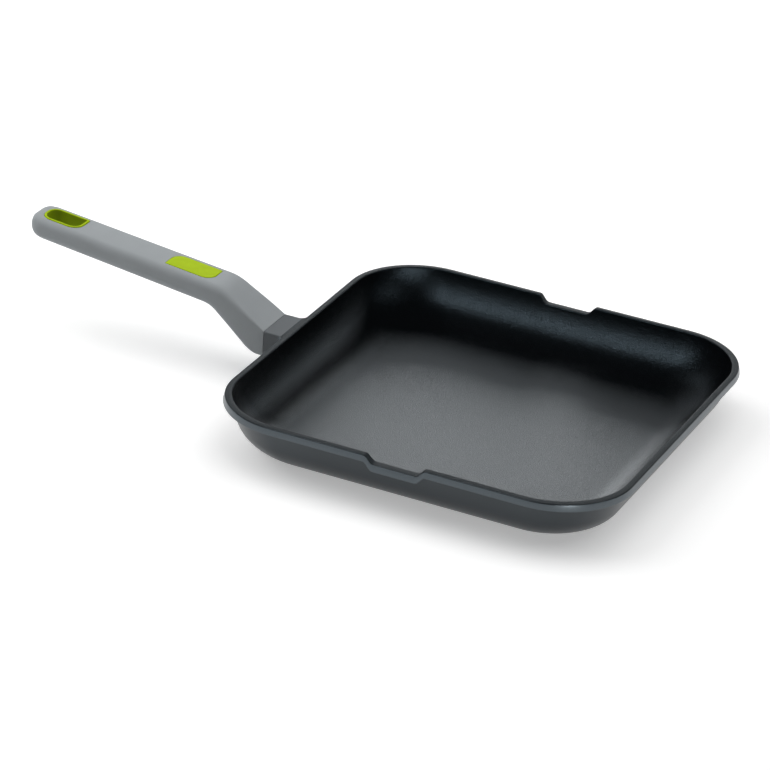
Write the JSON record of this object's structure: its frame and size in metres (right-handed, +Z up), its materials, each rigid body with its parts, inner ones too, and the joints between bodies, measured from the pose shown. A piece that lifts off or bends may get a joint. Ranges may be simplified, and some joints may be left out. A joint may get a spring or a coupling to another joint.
{
  "type": "griddle pan",
  "caption": "Shallow square griddle pan with a smooth coated floor, coved walls, pouring notches in the rim and a bent grip handle with a lined hanging hole.",
  "frame": {"origin": "middle of the base's underside, which the pan stands on", "axes": "+Z up out of the pan, -X along the handle away from the pan, +Y to the left of someone who holds the handle and looks at the pan"},
  "size_m": [0.477, 0.28, 0.0738],
  "materials": {
    "pan_coating": "dark grey coating, satin",
    "base_steel": "plain",
    "handle_grey": "soft-touch matt",
    "lime_plastic": "smooth satin",
    "fastener_steel": "plain"
  },
  "bodies": {
    "root": {"pan_body": "pan_coating", "induction_plate": "base_steel", "handle_body": "handle_grey", "hang_loop_liner": "lime_plastic", "badge_inlay": "lime_plastic", "handle_screw": "fastener_steel", "flat_washer": "fastener_steel", "spring_washer": "fastener_steel"}
  },
  "joints": []
}
